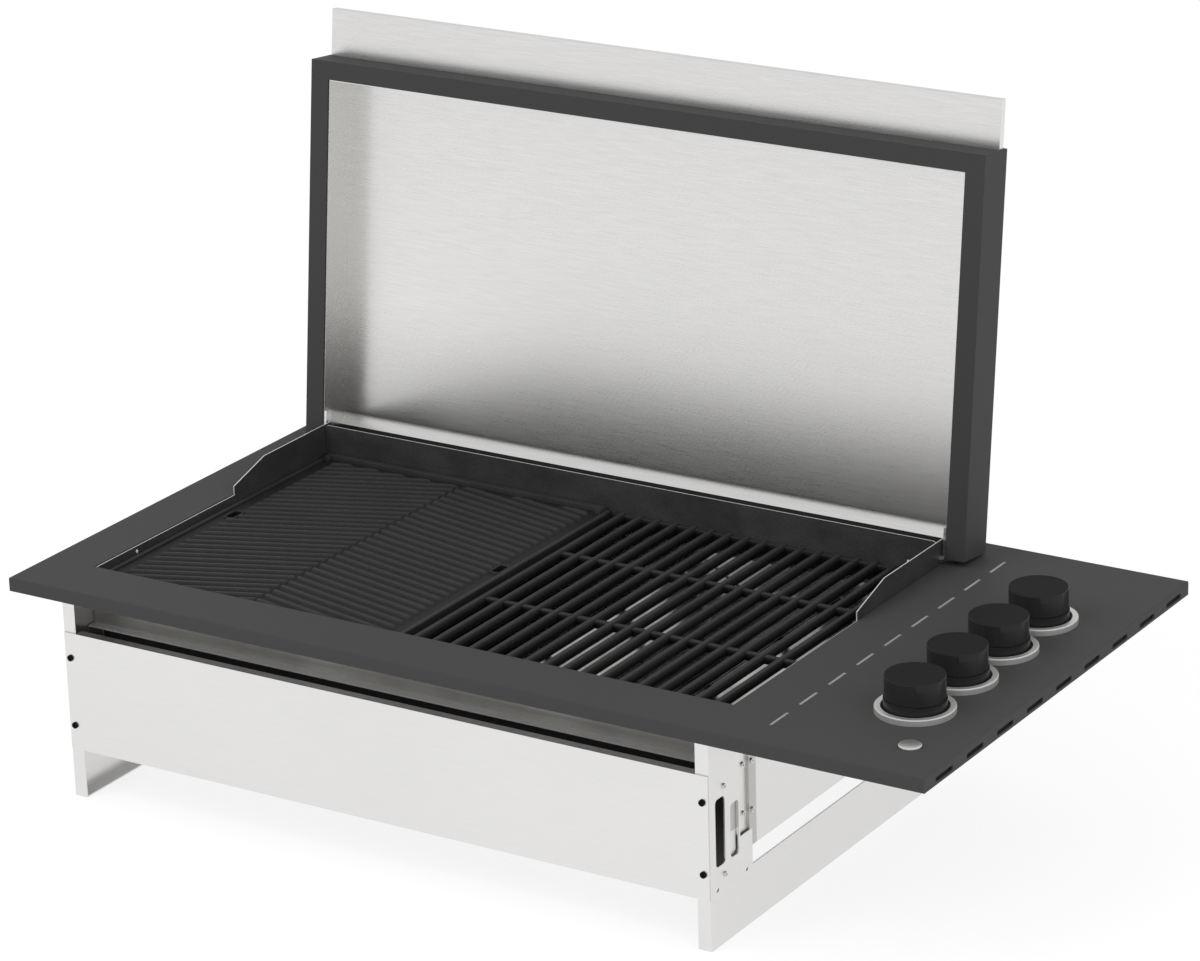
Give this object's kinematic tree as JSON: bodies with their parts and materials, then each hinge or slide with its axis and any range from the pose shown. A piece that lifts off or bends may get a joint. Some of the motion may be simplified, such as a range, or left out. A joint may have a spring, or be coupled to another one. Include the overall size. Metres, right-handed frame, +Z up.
{
  "type": "built-in gas grill",
  "caption": "Drop-in gas grill with an open flat hinged lid, cast hotplate and grate, side control knobs and a sheet-steel body.",
  "frame": {"origin": "on the ground line of the side panels, under the middle of the overall width and depth", "axes": "+X to the right along the fascia, +Y to the back, +Z up"},
  "size_m": [1, 0.5404, 0.6662],
  "materials": {
    "charcoal_paint": "fine satin powder coat",
    "body_steel": "satin sheet",
    "guard_steel": "dark satin enamel with bare edges",
    "cast_iron": "matt seasoned casting",
    "burner_steel": "plain stainless sheet",
    "tray_steel": "pressed sheet",
    "stainless": "brushed",
    "gas_pipe": "plain grey",
    "igniter_plastic": "matt",
    "black_screws": "black oxide",
    "knob_black": "soft matt",
    "stem_steel": "turned",
    "valve_brass": "cast and turned",
    "tube_aluminium": "drawn tube"
  },
  "bodies": {
    "grill_body": {"fascia": "charcoal_paint", "left_side_panel": "body_steel", "right_side_panel": "body_steel", "front_panel": "body_steel", "rear_panel": "body_steel", "control_shield": "body_steel", "firebox_front": "body_steel", "firebox_rear": "body_steel", "firebox_left": "body_steel", "firebox_right": "body_steel", "guard_left": "guard_steel", "guard_right": "guard_steel", "guard_rear": "guard_steel", "vent_baffle": "guard_steel", "hotplate": "cast_iron", "grill_grate": "cast_iron", "drip_tray": "tray_steel", "hinge_pins": "stainless", "side_screws": "stainless", "gas_manifold": "gas_pipe", "igniter_body": "igniter_plastic", "front_screws": "black_screws", "flame_tamer_1": "burner_steel", "burner_1": "burner_steel", "bezel_1": "stainless", "gas_valve_1": "valve_brass", "gas_tube_1": "tube_aluminium", "flame_tamer_2": "burner_steel", "burner_2": "burner_steel", "bezel_2": "stainless", "gas_valve_2": "valve_brass", "gas_tube_2": "tube_aluminium", "flame_tamer_3": "burner_steel", "burner_3": "burner_steel", "bezel_3": "stainless", "gas_valve_3": "valve_brass", "gas_tube_3": "tube_aluminium", "flame_tamer_4": "burner_steel", "burner_4": "burner_steel", "bezel_4": "stainless", "gas_valve_4": "valve_brass", "gas_tube_4": "tube_aluminium"},
    "lid": {"lid_tray": "charcoal_paint", "lid_liner": "stainless", "lid_cover": "charcoal_paint", "lid_handle": "stainless", "hinge_plates": "stainless"},
    "igniter_button": {"igniter_button": "stainless"},
    "valve_plug_1": {"valve_plug_1": "valve_brass"},
    "knob_1": {"knob_1": "knob_black", "valve_stem_1": "stem_steel"},
    "valve_plug_2": {"valve_plug_2": "valve_brass"},
    "knob_2": {"knob_2": "knob_black", "valve_stem_2": "stem_steel"},
    "valve_plug_3": {"valve_plug_3": "valve_brass"},
    "knob_3": {"knob_3": "knob_black", "valve_stem_3": "stem_steel"},
    "valve_plug_4": {"valve_plug_4": "valve_brass"},
    "knob_4": {"knob_4": "knob_black", "valve_stem_4": "stem_steel"}
  },
  "joints": [
    {"name": "lid_hinge", "type": "hinge", "parent": "grill_body", "child": "lid", "pos_m": [-0.0855, 0.18591, 0.2275], "axis": [1, 0, 0], "range_deg": [0, 96.2]},
    {"name": "igniter_push", "type": "slide", "parent": "grill_body", "child": "igniter_button", "axis": [0, 0, -1], "range_m": [0, 0.003], "stiffness_N_per_m": 900, "springref_m": -0.004},
    {"name": "knob_turn_1", "type": "hinge", "parent": "grill_body", "child": "valve_plug_1", "pos_m": [0.422, -0.14219, 0.223], "axis": [0, 0, 1], "range_deg": [0, 210]},
    {"name": "knob_push_1", "type": "slide", "parent": "valve_plug_1", "child": "knob_1", "axis": [0, 0, -1], "range_m": [0, 0.003], "stiffness_N_per_m": 1500, "springref_m": -0.004},
    {"name": "knob_turn_2", "type": "hinge", "parent": "grill_body", "child": "valve_plug_2", "pos_m": [0.422, -0.06239, 0.223], "axis": [0, 0, 1], "range_deg": [0, 210]},
    {"name": "knob_push_2", "type": "slide", "parent": "valve_plug_2", "child": "knob_2", "axis": [0, 0, -1], "range_m": [0, 0.003], "stiffness_N_per_m": 1500, "springref_m": -0.004},
    {"name": "knob_turn_3", "type": "hinge", "parent": "grill_body", "child": "valve_plug_3", "pos_m": [0.422, 0.01741, 0.223], "axis": [0, 0, 1], "range_deg": [0, 210]},
    {"name": "knob_push_3", "type": "slide", "parent": "valve_plug_3", "child": "knob_3", "axis": [0, 0, -1], "range_m": [0, 0.003], "stiffness_N_per_m": 1500, "springref_m": -0.004},
    {"name": "knob_turn_4", "type": "hinge", "parent": "grill_body", "child": "valve_plug_4", "pos_m": [0.422, 0.09721, 0.223], "axis": [0, 0, 1], "range_deg": [0, 210]},
    {"name": "knob_push_4", "type": "slide", "parent": "valve_plug_4", "child": "knob_4", "axis": [0, 0, -1], "range_m": [0, 0.003], "stiffness_N_per_m": 1500, "springref_m": -0.004}
  ]
}
